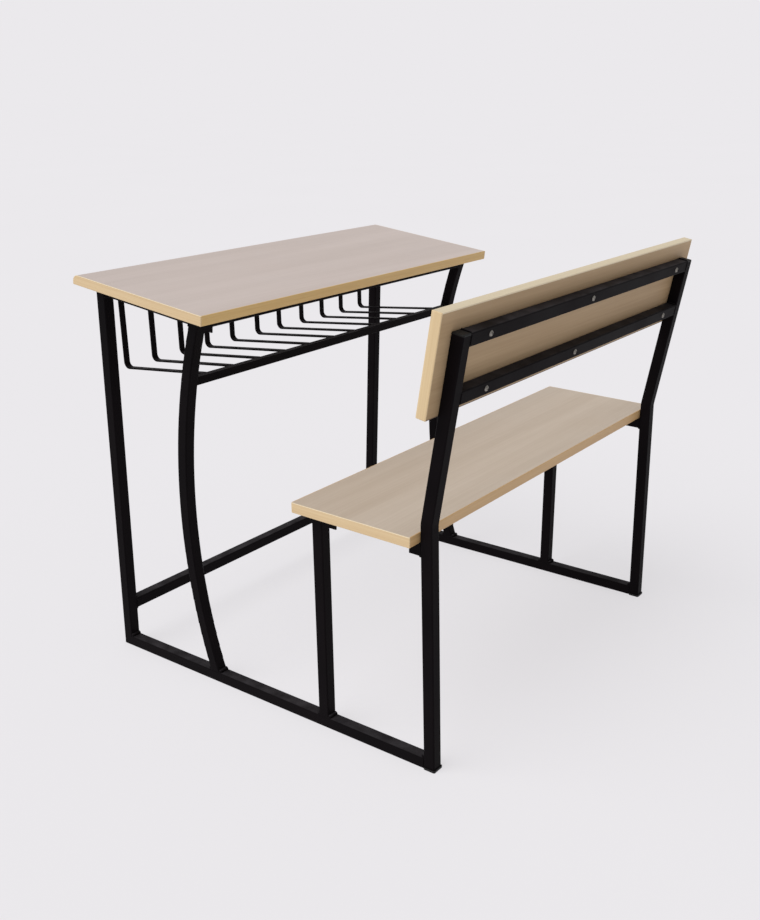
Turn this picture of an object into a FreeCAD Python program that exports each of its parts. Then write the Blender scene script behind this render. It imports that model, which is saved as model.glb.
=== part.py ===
import FreeCAD, Part
import math
import os

# School desk with an attached bench, on one welded frame of square tube.
# Lengths are in millimetres and angles in degrees.
# X runs across the desk, Y from the bench towards the desk, and Z up from the floor.
# The left side is the seated pupil's left, at low X.

# Frame tube
tube_size = 22.0
tube_wall = 1.2
tube_corner = 2.5

# Side frames
frame_width = 844.0
base_length = 786.5
front_leg_lean = 2.29
curved_leg_radius = 1089.0
curved_leg_bow_height = 345.0
curved_leg_bow_setback = 217.0
post_lean = 1.09
post_recline = 9.85
post_bend_height = 450.3
post_bend_radius = 40.0
post_back_length = 315.0
side_rail_size = 16.0
side_rail_wall = 1.2
side_rail_corner = 1.5

# Desktop. Its front edge stops short of the base, so its overhang there is negative.
desktop_height = 732.1
desktop_depth = 328.0
desktop_tilt = 6.95
desktop_thickness = 18.0
desktop_side_overhang = 26.5
desktop_front_overhang = -0.7
desktop_lipping = 14.0
desktop_nose_radius = 12.0

# Seat
seat_height = 437.2
seat_depth = 245.0
seat_tilt = 0.92
seat_thickness = 18.0
seat_side_overhang = 27.0
seat_front_overhang = 21.8
seat_rear_gap = 1.0
seat_corner_radius = 4.0

# Backrest
backrest_height = 165.0
backrest_thickness = 18.0
backrest_side_overhang = 32.0
backrest_top_overhang = 32.0
backrest_rail_spacing = 91.0

# Edges of the boards
band_thickness = 2.0
edge_rounding = 1.0

# Cross members
stretcher_height = 81.0
desk_rail_size = 20.0
basket_rail_size = 15.0
basket_rail_wall = 1.0
basket_rail_corner = 1.2
basket_rail_height = 591.3

# Basket strips
strip_count = 11
strip_width = 12.0
strip_thickness = 3.0
strip_side_inset = 58.5
strip_drop = 19.7
strip_bend_radius = 11.0
strip_shift_shares = (-0.04, -0.08, -0.08, -0.1, -0.09, -0.03, -0.06, -0.02, -0.03, -0.06, -0.07)

# Angle cleats
cleat_leg = 22.0
cleat_thickness = 3.0
seat_front_cleat_length = 31.0
seat_rear_cleat_length = 20.0
seat_rear_cleat_extra_right = 11.0
desk_cleat_leg = 15.5
desk_cleat_thickness = 3.0
desk_cleat_length = 31.0

# Plastic foot plugs and post caps
plug_head = 4.0
plug_lip = 1.5
cap_head = 3.0
cap_rounding = 2.0
spigot_length = 14.0

# Bolts and screws
bolt_head_radius = 5.0
bolt_head_height = 2.8
bolt_shank_radius = 2.5
bolt_recess_span = 4.6
bolt_recess_width = 1.3
bolt_recess_depth = 1.5
bolt_side_inset = 82.0
upper_bolt_shares = (-1.013, -0.03, 1.027)
lower_bolt_shares = (-0.966, -0.113, 0.997)
screw_head_radius = 4.0
screw_head_height = 2.4
screw_shank_radius = 2.0
board_bite = 12.0
desk_screw_shares = (0.2, 0.8)

# Clearance of every fit, and overrun of every cut
fit_clearance = 0.3
cut_overrun = 60.0

AXIS_X = FreeCAD.Vector(1, 0, 0)
AXIS_Y = FreeCAD.Vector(0, 1, 0)
AXIS_Z = FreeCAD.Vector(0, 0, 1)
ORIGIN = FreeCAD.Vector(0, 0, 0)
SIDES = {"left": -1, "right": 1}


def sine(angle):
    return math.sin(math.radians(angle))


def cosine(angle):
    return math.cos(math.radians(angle))


def tangent(angle):
    return math.tan(math.radians(angle))


def vector(x, y, z=0):
    return FreeCAD.Vector(x, y, z)


def placement(origin, angle=0, axis=AXIS_X):
    return FreeCAD.Placement(origin, FreeCAD.Rotation(axis, angle))


def moved(shape, where):
    """Copy of a shape, carried into the frame of a placement."""
    result = shape.copy()
    result.Placement = where.multiply(result.Placement)
    return result


def cut_above(shape, point, angle):
    """Remove what lies above a plane: a level plane through the point, turned about X."""
    block = Part.makeBox(2 * cut_overrun, 2 * cut_overrun, cut_overrun,
                         vector(-cut_overrun, -cut_overrun))
    return shape.cut(moved(block, placement(point, angle)))


def arc(centre, radius, start, end):
    """Start, middle and end of an arc in the XY plane, between two angles from +X."""
    angles = (start, (start + end) / 2, end)
    return [centre + vector(radius * cosine(angle), radius * sine(angle)) for angle in angles]


def outline_face(path):
    """Face whose outline runs straight from each point or arc of the path to the next."""
    edges = []
    previous = path[-1][-1]
    for points in path:
        edges.append(Part.LineSegment(previous, points[0]).toShape())
        if len(points) == 3:
            edges.append(Part.Arc(*points).toShape())
        previous = points[-1]
    return Part.Face(Part.Wire(edges))


def rounded_face(width, depth, radius):
    """Rectangle with round corners in the XY plane, centred on the origin."""
    path = []
    for turn, (across, up) in enumerate([(1, 1), (-1, 1), (-1, -1), (1, -1)]):
        centre = vector(across * (width / 2 - radius), up * (depth / 2 - radius))
        path.append(arc(centre, radius, 90 * turn, 90 * turn + 90))
    return outline_face(path)


def square_face(size, shrink=0):
    """Outline of the frame tube, or one that lies inside it by a shrinkage."""
    side = size - 2 * shrink
    return rounded_face(side, side, tube_corner * side / size)


def tube_face(size=tube_size, wall=tube_wall, corner=tube_corner):
    """Cross-section of square tube."""
    bore = size - 2 * wall
    outside = rounded_face(size, size, corner)
    inside = rounded_face(bore, bore, corner * bore / size)
    return outside.cut(inside).Faces[0]


def arched(face, radius, angle):
    """Sweep of a section about X, from its start at +Y of the centre of the curve."""
    return moved(face, placement(vector(0, radius))).revolve(ORIGIN, AXIS_X, angle)


def cross_tube(y, z, face):
    """Level tube between the inner faces of the two side frames, centred at y and z."""
    length = frame_width - 2 * tube_size
    tube = face.extrude(AXIS_Z * length)
    return moved(tube, placement(vector(-length / 2, y, z), 90, AXIS_Y))


def side_x(side):
    """Middle of a side frame."""
    return SIDES[side] * (frame_width - tube_size) / 2


# Lines and planes that the pieces meet on

def front_leg_y(z):
    """Centreline of the front legs."""
    return base_length - tube_size / 2 / cosine(front_leg_lean) - z * tangent(front_leg_lean)


def curved_leg_centre():
    """Centre of the curved legs' arc, seen from the side."""
    y = base_length - curved_leg_bow_setback - curved_leg_radius
    return vector(0, y, curved_leg_bow_height)


def curved_leg_y(z):
    """Centreline of the curved legs."""
    rise = z - curved_leg_bow_height
    return curved_leg_centre().y + math.sqrt(curved_leg_radius ** 2 - rise ** 2)


def post_y(z):
    """Centreline of the rear posts below their bend."""
    return tube_size / 2 + z * tangent(post_lean)


def post_front_y(z):
    """Front face of the rear posts below their bend."""
    return post_y(z) + tube_size / 2 / cosine(post_lean)


def desk_frame():
    """Frame of the desktop: its origin is the middle of the lower rear edge."""
    y = base_length + desktop_front_overhang - desktop_depth * cosine(desktop_tilt)
    z = desktop_height - desktop_thickness * cosine(desktop_tilt)
    return placement(vector(0, y, z), desktop_tilt)


def desk_underside(y):
    """Height of the desktop's underside."""
    return desk_frame().Base.z + (y - desk_frame().Base.y) * tangent(desktop_tilt)


def leg_top(leg_y):
    """Height at which a leg's centreline meets the desktop."""
    z = desktop_height
    for _ in range(6):
        z = desk_underside(leg_y(z))
    return z


def leg_place(leg_y):
    """Where a leg's centreline meets the desktop, measured along the slope."""
    return (leg_y(leg_top(leg_y)) - desk_frame().Base.y) / cosine(desktop_tilt)


def desk_rail_centre(leg_y):
    """Centre of a level tube between two legs, just under the desktop."""
    z = desktop_height
    for _ in range(6):
        z = desk_underside(leg_y(z) - desk_rail_size / 2) - fit_clearance - desk_rail_size / 2
    return leg_y(z), z


def basket_rail_centre():
    z = basket_rail_height + basket_rail_size / 2
    return curved_leg_y(z), z


def seat_frame():
    """Frame of the seat: its origin is the middle of the lower rear edge."""
    z = seat_height - seat_thickness * cosine(seat_tilt)
    return placement(vector(0, post_front_y(seat_height) + seat_rear_gap, z), seat_tilt)


def bench_leg_rear():
    """Rear face of the bench legs."""
    front_edge = seat_frame().Base.y + seat_depth * cosine(seat_tilt)
    return front_edge - seat_front_overhang - tube_size


def back_frame():
    """Frame of the backrest: its origin is the bend of the posts, and its Z runs up them."""
    return placement(vector(0, post_y(post_bend_height), post_bend_height), post_recline)


def upper_rail_rise():
    return post_back_length - tube_size / 2


def lower_rail_rise():
    return upper_rail_rise() - backrest_rail_spacing


# Side frames

def base_rail(side):
    """Tube along the floor, from the rear post to the mitre with the front leg."""
    tube = tube_face().extrude(AXIS_Z * (base_length + cut_overrun))
    rail = moved(tube, placement(vector(side_x(side), -cut_overrun / 2, tube_size / 2), -90))
    rail = cut_above(rail, vector(side_x(side), post_front_y(0)), 90 - post_lean)
    return cut_above(rail, vector(side_x(side), base_length), (front_leg_lean - 90) / 2)


def front_leg(side):
    """Leaning tube from the mitre at the floor to the underside of the desktop."""
    top = leg_top(front_leg_y)
    tube = tube_face().extrude(AXIS_Z * (top + cut_overrun))
    start = vector(side_x(side), front_leg_y(-cut_overrun / 2), -cut_overrun / 2)
    leg = moved(tube, placement(start, front_leg_lean))
    leg = cut_above(leg, vector(side_x(side), base_length), 180 + (front_leg_lean - 90) / 2)
    return cut_above(leg, vector(side_x(side), front_leg_y(top), top), desktop_tilt)


def curved_leg_sweep(side, face):
    """Sweep of a section along the curved leg, past both ends of the leg."""
    low = math.degrees(math.asin((tube_size - curved_leg_bow_height) / curved_leg_radius))
    rise = leg_top(curved_leg_y) - curved_leg_bow_height
    high = math.degrees(math.asin(rise / curved_leg_radius))
    spare = math.degrees(cut_overrun / 2 / curved_leg_radius)
    sweep = arched(face, curved_leg_radius, high - low + 2 * spare)
    centre = curved_leg_centre() + AXIS_X * side_x(side)
    return moved(sweep, placement(centre, low - spare))


def curved_leg(side):
    """Bowed tube from the base rail to the underside of the desktop."""
    top = leg_top(curved_leg_y)
    leg = curved_leg_sweep(side, tube_face())
    leg = cut_above(leg, vector(side_x(side), curved_leg_y(tube_size), tube_size), 180)
    return cut_above(leg, vector(side_x(side), curved_leg_y(top), top), desktop_tilt)


def curved_leg_envelope(side):
    """Solid round the curved leg, which its neighbours are cut back to."""
    return curved_leg_sweep(side, square_face(tube_size, -fit_clearance))


def bench_leg(side):
    """Upright tube from the base rail to the underside of the seat."""
    y = bench_leg_rear() + tube_size / 2
    tube = tube_face().extrude(AXIS_Z * seat_height)
    leg = moved(tube, placement(vector(side_x(side), y, tube_size)))
    corner = seat_frame().Base
    top = corner.z + (y - corner.y) * tangent(seat_tilt)
    return cut_above(leg, vector(side_x(side), y, top), seat_tilt)


def rear_post(side):
    """Post that leans forward as far as its bend above the seat, and back from there."""
    turn = post_lean + post_recline
    setback = post_bend_radius * tangent(turn / 2)
    rise = post_bend_height / cosine(post_lean)
    lower = tube_face().extrude(AXIS_Z * (rise - setback))
    bend = moved(arched(tube_face(), post_bend_radius, turn),
                 placement(vector(0, -post_bend_radius, rise - setback)))
    upper = tube_face().extrude(AXIS_Z * (post_back_length - cap_head - setback))
    upper = moved(upper, placement(vector(0, 0, setback)))
    upper = moved(upper, placement(vector(0, 0, rise), turn))
    post = lower.fuse([bend, upper]).removeSplitter()
    post = moved(post, placement(vector(side_x(side), post_y(0)), -post_lean))
    return cut_above(post, vector(side_x(side), post_y(0), plug_head), 180)


def desk_side_rail(side):
    """Tube under the desktop, from the curved leg to the front leg."""
    start = leg_place(curved_leg_y)
    face = tube_face(side_rail_size, side_rail_wall, side_rail_corner)
    tube = face.extrude(AXIS_Z * (leg_place(front_leg_y) - start))
    tube = moved(tube, placement(vector(side_x(side), start, -side_rail_size / 2), -90))
    rail = moved(tube, desk_frame()).cut(curved_leg_envelope(side))
    top = leg_top(front_leg_y)
    leg_rear = front_leg_y(top) - tube_size / 2 / cosine(front_leg_lean)
    rail = cut_above(rail, vector(side_x(side), leg_rear, top), front_leg_lean - 90)
    for where in side_rail_screw_places(side):
        rail = rail.cut(screw_hole(side_rail_size, where))
    return rail


# Plastic foot plugs and post caps

def spigot(start, end):
    """Plug that fits the bore of the frame tube, along Z."""
    plug = square_face(tube_size, tube_wall + fit_clearance).extrude(AXIS_Z * (end - start))
    return moved(plug, placement(vector(0, 0, start)))


def foot_plug(side):
    """Foot under the rear post, with a spigot inside the post."""
    inside = moved(spigot(0, plug_head + spigot_length),
                   placement(vector(side_x(side), post_y(0)), -post_lean))
    inside = cut_above(inside, vector(side_x(side), post_y(0), plug_head / 2), 180)
    depth = post_front_y(0) - fit_clearance + plug_lip
    head = rounded_face(tube_size + 2 * plug_lip, depth, tube_corner).extrude(AXIS_Z * plug_head)
    head = moved(head, placement(vector(side_x(side), depth / 2 - plug_lip)))
    return head.fuse(inside).removeSplitter()


def post_cap(side):
    """Cap that closes the top of the rear post."""
    head = square_face(tube_size).extrude(AXIS_Z * cap_head)
    rim = [edge for edge in head.Edges if edge.BoundBox.ZMin > cap_head / 2]
    cap = head.makeFillet(cap_rounding, rim).fuse(spigot(-spigot_length, cap_head / 2))
    cap = moved(cap.removeSplitter(), placement(vector(side_x(side), 0, post_back_length - cap_head)))
    return moved(cap, back_frame())


# Angle cleats

def angle_cleat(leg, thickness, length):
    """Angle along Y: one flange hangs down from the origin, and the other lies level."""
    path = [[vector(0, 0)], [vector(0, -leg)], [vector(thickness, -leg)],
            [vector(thickness, -thickness)], [vector(leg, -thickness)], [vector(leg, 0)]]
    return moved(outline_face(path).extrude(AXIS_Z * -length), placement(ORIGIN, 90))


def cleat_edge_x(side):
    """Outer face of a cleat's hanging flange."""
    return side_x(side) - tube_size / 2


def seat_front_cleat_start():
    """Rear end of the front cleats, measured along the seat."""
    return (bench_leg_rear() - seat_frame().Base.y) / cosine(seat_tilt) - seat_front_cleat_length


def seat_front_cleat(side):
    """Angle behind the top of the bench leg."""
    cleat = angle_cleat(cleat_leg, cleat_thickness, seat_front_cleat_length + tube_size / 2)
    cleat = moved(cleat, placement(vector(cleat_edge_x(side), seat_front_cleat_start())))
    cleat = moved(cleat, seat_frame())
    cleat = cut_above(cleat, vector(side_x(side), bench_leg_rear(), seat_height), -90)
    return cleat.cut(screw_hole(cleat_thickness, seat_front_screw_place(side)))


def seat_rear_cleat_reach(side):
    """How far a rear cleat reaches along the seat. The right one is longer."""
    return seat_rear_cleat_length + (seat_rear_cleat_extra_right if side == "right" else 0)


def seat_rear_cleat(side):
    """Angle in front of the rear post."""
    cleat = angle_cleat(cleat_leg, cleat_thickness, seat_rear_cleat_reach(side) + tube_size / 2)
    cleat = moved(cleat, placement(vector(cleat_edge_x(side), -tube_size / 2)))
    cleat = moved(cleat, seat_frame())
    face = vector(side_x(side), post_front_y(seat_height), seat_height)
    cleat = cut_above(cleat, face, 90 - post_lean)
    return cleat.cut(screw_hole(cleat_thickness, seat_rear_screw_place(side)))


def desk_cleat_start():
    """Rear end of the desktop's cleat, measured along the slope."""
    return leg_place(curved_leg_y) - tube_size / 2 - desk_cleat_length


def desk_cleat(side):
    """Angle behind the top of the curved leg."""
    length = desk_cleat_length + tube_size / 2
    cleat = angle_cleat(desk_cleat_leg, desk_cleat_thickness, length)
    cleat = moved(cleat, placement(vector(cleat_edge_x(side), desk_cleat_start())))
    cleat = moved(cleat, desk_frame()).cut(curved_leg_envelope(side))
    return cleat.cut(screw_hole(desk_cleat_thickness, desk_cleat_screw_place(side)))


# Bolts and screws

def fastener(head_radius, head_height, shank_radius, length):
    """Solid along Y: a domed head above the origin, and a shank below it."""
    dome = (head_radius ** 2 + head_height ** 2) / (2 * head_height)
    rim = math.degrees(math.atan2(dome - head_height, head_radius))
    path = [[vector(0, -length)], [vector(shank_radius, -length)], [vector(shank_radius, 0)],
            arc(vector(0, head_height - dome), dome, rim, 90)]
    return outline_face(path).revolve(ORIGIN, AXIS_Y, 360)


def shank_hole(radius, length, where):
    """Hole that a shank passes through, and runs on into the board behind it."""
    depth = length + board_bite + 2 * fit_clearance
    hole = Part.makeCylinder(radius + fit_clearance, depth, vector(0, fit_clearance), -AXIS_Y)
    return moved(hole, where)


def screw(grip, where):
    """Screw up through a steel piece into a board."""
    solid = fastener(screw_head_radius, screw_head_height, screw_shank_radius, grip + board_bite)
    return moved(solid, where)


def screw_hole(grip, where):
    return shank_hole(screw_shank_radius, grip, where)


def screw_place(frame, x, y, grip):
    """Place of a screw's head, under a steel piece on the underside of a board."""
    return frame.multiply(placement(vector(x, y, -grip), -90))


def side_rail_screw_places(side):
    start = leg_place(curved_leg_y)
    length = leg_place(front_leg_y) - start
    return [screw_place(desk_frame(), side_x(side), start + share * length, side_rail_size)
            for share in desk_screw_shares]


def desk_cleat_screw_place(side):
    x = cleat_edge_x(side) + (desk_cleat_leg + desk_cleat_thickness) / 2
    y = desk_cleat_start() + desk_cleat_length / 2
    return screw_place(desk_frame(), x, y, desk_cleat_thickness)


def seat_screw_x(side):
    return cleat_edge_x(side) + (cleat_leg + cleat_thickness) / 2


def seat_front_screw_place(side):
    y = seat_front_cleat_start() + seat_front_cleat_length / 2
    return screw_place(seat_frame(), seat_screw_x(side), y, cleat_thickness)


def seat_rear_screw_place(side):
    y = seat_rear_cleat_reach(side) / 2
    return screw_place(seat_frame(), seat_screw_x(side), y, cleat_thickness)


def desktop_screws():
    """Two screws through each side rail, and one through the cleat."""
    screws = [screw(side_rail_size, where) for side in SIDES for where in side_rail_screw_places(side)]
    screws.append(screw(desk_cleat_thickness, desk_cleat_screw_place("left")))
    return Part.makeCompound(screws)


def seat_screw_places():
    return [place(side) for side in SIDES for place in (seat_front_screw_place, seat_rear_screw_place)]


def seat_screws():
    """One screw through each seat cleat."""
    return Part.makeCompound([screw(cleat_thickness, where) for where in seat_screw_places()])


def bolt_places(rise, shares):
    """Places of a backrest rail's bolt heads, as shares of their reach from the middle."""
    reach = frame_width / 2 - bolt_side_inset
    places = [placement(vector(share * reach, -tube_size / 2, rise), 180) for share in shares]
    return [back_frame().multiply(where) for where in places]


def upper_bolt_places():
    return bolt_places(upper_rail_rise(), upper_bolt_shares)


def lower_bolt_places():
    return bolt_places(lower_rail_rise(), lower_bolt_shares)


def bolt():
    """Bolt whose domed head has a cross recess."""
    solid = fastener(bolt_head_radius, bolt_head_height, bolt_shank_radius, tube_size + board_bite)
    slot = Part.makeBox(bolt_recess_span, bolt_head_height, bolt_recess_width,
                        vector(-bolt_recess_span / 2, bolt_head_height - bolt_recess_depth,
                               -bolt_recess_width / 2))
    return solid.cut([slot, moved(slot, placement(ORIGIN, 90, AXIS_Y))])


def backrest_bolts():
    """Bolts through the two backrest rails into the backrest."""
    places = upper_bolt_places() + lower_bolt_places()
    return Part.makeCompound([moved(bolt(), where) for where in places])


# Cross members

def foot_stretcher():
    """Low tube between the front legs."""
    z = stretcher_height + tube_size / 2
    return cross_tube(front_leg_y(z), z, tube_face())


def basket_rail():
    """Thin tube between the curved legs, which carries the rear ends of the strips."""
    y, z = basket_rail_centre()
    return cross_tube(y, z, tube_face(basket_rail_size, basket_rail_wall, basket_rail_corner))


def desk_rear_rail():
    """Tube between the tops of the curved legs."""
    y, z = desk_rail_centre(curved_leg_y)
    return cross_tube(y, z, tube_face(desk_rail_size))


def desk_front_rail():
    """Tube between the tops of the front legs, which carries the front ends of the strips."""
    y, z = desk_rail_centre(front_leg_y)
    return cross_tube(y, z, tube_face(desk_rail_size))


def backrest_rail(rise, bolts):
    """Tube between the posts, behind the backrest."""
    rail = moved(cross_tube(0, rise, tube_face()), back_frame())
    for where in bolts:
        rail = rail.cut(shank_hole(bolt_shank_radius, tube_size, where))
    return rail


def backrest_upper_rail():
    return backrest_rail(upper_rail_rise(), upper_bolt_places())


def backrest_lower_rail():
    return backrest_rail(lower_rail_rise(), lower_bolt_places())


# Basket

def strip_face():
    """Side view of a strip, with Y and Z laid out on X and Y."""
    half = strip_thickness / 2
    front_y, front_z = desk_rail_centre(front_leg_y)
    rear_y, rear_z = basket_rail_centre()
    drop_y = front_y + desk_rail_size / 2 + half
    end_y = rear_y + basket_rail_size / 2
    top_z = front_z + desk_rail_size / 2 - tube_corner
    end_z = rear_z + basket_rail_size / 2 - half
    slope = math.degrees(math.atan2(strip_drop, drop_y - end_y))
    rise = strip_bend_radius * tangent((90 + slope) / 2)
    bend = vector(drop_y - strip_bend_radius, end_z - strip_drop + rise)
    path = [[vector(drop_y + half, top_z)],
            arc(bend, strip_bend_radius + half, 0, -90 - slope),
            [vector(end_y, end_z - half / cosine(slope))],
            [vector(end_y, end_z + half / cosine(slope))],
            arc(bend, strip_bend_radius - half, -90 - slope, 0),
            [vector(drop_y - half, top_z)]]
    return outline_face(path)


def basket_strip(number):
    """Flat strip that drops from the front rail, and rises back to the basket rail.

    Each strip is welded on a little off its even place, by a share of the pitch.
    """
    reach = frame_width / 2 - strip_side_inset
    pitch = 2 * reach / (strip_count - 1)
    x = (number + strip_shift_shares[number]) * pitch - reach - strip_width / 2
    strip = strip_face().extrude(AXIS_Z * strip_width)
    return moved(strip, placement(vector(x, 0), 120, vector(1, 1, 1)))


# Boards

def plain_board(length, depth, thickness):
    """Square-edged board that lies on Z 0, with its rear edge at Y 0."""
    return Part.makeBox(length, depth, thickness, vector(-length / 2, 0))


def is_sharp(board, edge):
    """Whether the two faces beside an edge meet at an angle."""
    middle = edge.valueAt((edge.FirstParameter + edge.LastParameter) / 2)
    normals = []
    for face in board.ancestorsOfType(edge, Part.Face):
        u, v = face.Surface.parameter(middle)
        normals.append(face.normalAt(u, v))
    return normals[0].getAngle(normals[1]) > math.radians(10)


def eased(board):
    """Board with all its sharp edges rounded a little."""
    return board.makeFillet(edge_rounding, [edge for edge in board.Edges if is_sharp(board, edge)])


def sliced(board, length, depth, front_band):
    """Core of a board, and its left, right, rear and front edge pieces."""
    inner = length / 2 - band_thickness
    outer = length / 2 + cut_overrun
    front = depth - front_band
    end = depth + cut_overrun
    regions = [(-inner, band_thickness, inner, front), (-outer, -cut_overrun, -inner, end),
               (inner, -cut_overrun, outer, end), (-inner, -cut_overrun, inner, band_thickness),
               (-inner, front, inner, end)]
    pieces = []
    for x1, y1, x2, y2 in regions:
        block = Part.makeBox(x2 - x1, y2 - y1, 2 * cut_overrun, vector(x1, y1, -cut_overrun))
        pieces.append(board.common(block))
    return pieces


def desktop_pieces():
    """Sloping desktop, with a thick front edge that is round on top."""
    length = frame_width + 2 * desktop_side_overhang
    board = plain_board(length, desktop_depth, desktop_thickness)
    nose = [edge for edge in board.Edges
            if edge.BoundBox.YMin > desktop_depth / 2 and edge.BoundBox.ZMin > desktop_thickness / 2]
    board = eased(board.makeFillet(desktop_nose_radius, nose))
    pieces = [moved(piece, desk_frame())
              for piece in sliced(board, length, desktop_depth, desktop_lipping)]
    for side in SIDES:
        for where in side_rail_screw_places(side):
            pieces[0] = pieces[0].cut(screw_hole(side_rail_size, where))
    pieces[0] = pieces[0].cut(screw_hole(desk_cleat_thickness, desk_cleat_screw_place("left")))
    names = ("board", "band_left", "band_right", "band_rear", "lipping_front")
    return {"desktop_" + name: piece for name, piece in zip(names, pieces)}


def seat_pieces():
    """Seat with round front corners."""
    length = frame_width + 2 * seat_side_overhang
    board = plain_board(length, seat_depth, seat_thickness)
    corners = [edge for edge in board.Edges
               if edge.BoundBox.YMin > seat_depth / 2 and edge.BoundBox.ZLength > seat_thickness / 2]
    board = eased(board.makeFillet(seat_corner_radius, corners))
    pieces = [moved(piece, seat_frame())
              for piece in sliced(board, length, seat_depth, band_thickness)]
    for where in seat_screw_places():
        pieces[0] = pieces[0].cut(screw_hole(cleat_thickness, where))
    names = ("board", "band_left", "band_right", "band_rear", "band_front")
    return {"seat_" + name: piece for name, piece in zip(names, pieces)}


def backrest_pieces():
    """Backrest, laid against the front of the posts and their two rails."""
    length = frame_width + 2 * backrest_side_overhang
    board = eased(plain_board(length, backrest_height, backrest_thickness))
    bottom = post_back_length + backrest_top_overhang - backrest_height
    upright = placement(vector(0, tube_size / 2 + backrest_thickness, bottom), 90)
    pieces = [moved(moved(piece, upright), back_frame())
              for piece in sliced(board, length, backrest_height, band_thickness)]
    for where in upper_bolt_places() + lower_bolt_places():
        pieces[0] = pieces[0].cut(shank_hole(bolt_shank_radius, tube_size, where))
    names = ("board", "band_left", "band_right", "band_bottom", "band_top")
    return {"backrest_" + name: piece for name, piece in zip(names, pieces)}


def paired_pieces():
    """Pieces that both side frames have."""
    makers = (base_rail, front_leg, curved_leg, bench_leg, rear_post, desk_side_rail,
              seat_front_cleat, seat_rear_cleat, post_cap, foot_plug)
    return {maker.__name__ + "_" + side: maker(side) for maker in makers for side in SIDES}


def single_pieces():
    """Pieces between the side frames, and the fasteners."""
    makers = (foot_stretcher, basket_rail, desk_rear_rail, desk_front_rail, backrest_upper_rail,
              backrest_lower_rail, backrest_bolts, seat_screws, desktop_screws)
    pieces = {maker.__name__: maker() for maker in makers}
    pieces["desk_cleat_left"] = desk_cleat("left")
    for number in range(strip_count):
        pieces["basket_strip_%02d" % (number + 1)] = basket_strip(number)
    return pieces


def write_parts():
    """Centre the pieces from front to rear, and write each to its own file."""
    pieces = {**desktop_pieces(), **seat_pieces(), **backrest_pieces(),
              **paired_pieces(), **single_pieces()}
    box = Part.makeCompound(list(pieces.values())).optimalBoundingBox()
    centred = placement(vector(0, -(box.YMin + box.YMax) / 2))
    os.makedirs("parts", exist_ok=True)
    for name, shape in pieces.items():
        moved(shape, centred).exportStep("parts/" + name + ".step")
    print(len(pieces), "pieces,", box.XLength, "by", box.YLength, "by", box.ZLength)


write_parts()
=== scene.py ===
# %% [markdown]
# # A school desk with its bench
# Two pupils share this desk. A sloping desktop, a flat seat and a leaning backrest are
# screwed to one welded frame of square steel tube, and a basket of bent flat strips hangs
# under the desktop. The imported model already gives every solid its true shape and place.
# This lesson dresses it: it gives every surface its finish, adds the weld beads, and then
# sets up the floor, the light and the camera.

# %% Load the frame
import math

import bmesh
import bpy
from mathutils import Matrix, Vector


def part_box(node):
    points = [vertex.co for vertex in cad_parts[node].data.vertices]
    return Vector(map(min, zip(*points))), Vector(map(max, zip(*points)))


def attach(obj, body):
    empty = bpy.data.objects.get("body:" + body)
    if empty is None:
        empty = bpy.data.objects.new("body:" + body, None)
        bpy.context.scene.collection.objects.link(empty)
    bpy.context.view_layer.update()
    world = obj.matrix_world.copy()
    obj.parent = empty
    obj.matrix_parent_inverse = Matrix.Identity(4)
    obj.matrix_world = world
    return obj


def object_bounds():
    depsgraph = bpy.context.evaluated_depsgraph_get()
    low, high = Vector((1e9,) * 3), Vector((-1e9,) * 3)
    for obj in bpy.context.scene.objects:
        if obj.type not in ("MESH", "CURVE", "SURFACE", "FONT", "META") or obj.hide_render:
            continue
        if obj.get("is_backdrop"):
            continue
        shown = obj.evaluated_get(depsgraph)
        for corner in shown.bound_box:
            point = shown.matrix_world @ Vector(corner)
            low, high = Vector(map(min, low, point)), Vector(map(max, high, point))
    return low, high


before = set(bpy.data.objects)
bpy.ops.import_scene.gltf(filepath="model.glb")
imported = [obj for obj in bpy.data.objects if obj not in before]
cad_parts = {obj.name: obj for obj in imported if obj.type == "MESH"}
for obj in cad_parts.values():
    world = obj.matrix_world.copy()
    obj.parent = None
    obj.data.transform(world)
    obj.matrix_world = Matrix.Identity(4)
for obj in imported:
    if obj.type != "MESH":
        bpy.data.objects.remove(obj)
cad_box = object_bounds()
print("box of the solids:", [round(value, 4) for corner in cad_box for value in corner])

# %% [markdown]
# ## Colours
# Colours are easier to judge on a screen than as formulas. So they are written here as they look
# on a screen, from 0 to 255, and turned into the linear values that a shader wants. Most
# finishes wander between a dark and a light tone, so such a pair has a helper of its own.


# %% Colours
def screen_colour(red, green, blue):
    """Linear colour with an alpha of 1, from how the colour looks on a screen."""
    def linear(value):
        share = value / 255
        return share / 12.92 if share <= 0.04045 else ((share + 0.055) / 1.055) ** 2.4
    return (linear(red), linear(green), linear(blue), 1.0)


def tone_pair(dark, light):
    """Dark and light tone of a finish."""
    return screen_colour(*dark), screen_colour(*light)


print("a mid grey of 128 is", round(screen_colour(128, 128, 128)[0], 3), "in linear light")

# %% [markdown]
# ## Trees of nodes
# A finish is a tree of nodes that ends in one shader. The nodes could be placed by hand in
# the editor. Small functions keep all the trees alike, though, and then a number is easy to
# find and to change.


# %% Nodes
def add_node(tree, kind, inputs=None, **settings):
    """Add a node. An input is a plain value, or the output of another node."""
    made = tree.nodes.new("ShaderNode" + kind)
    for name, value in settings.items():
        setattr(made, name, value)
    for socket, value in (inputs or {}).items():
        if isinstance(value, bpy.types.NodeSocket):
            tree.links.new(value, made.inputs[socket])
        else:
            made.inputs[socket].default_value = value
    return made


def blend_colours(tree, share, first, second):
    """Mix of two colours, with this share of the second."""
    return add_node(tree, "Mix", {0: share, 6: first, 7: second}, data_type="RGBA").outputs[2]


print("helpers ready:", add_node.__name__, blend_colours.__name__)

# %% [markdown]
# What is the same all over a surface is a plain value on the shader's own socket. What varies
# comes in over a link. On the desk, that is the colour, roughness and normal of each finish.


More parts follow.
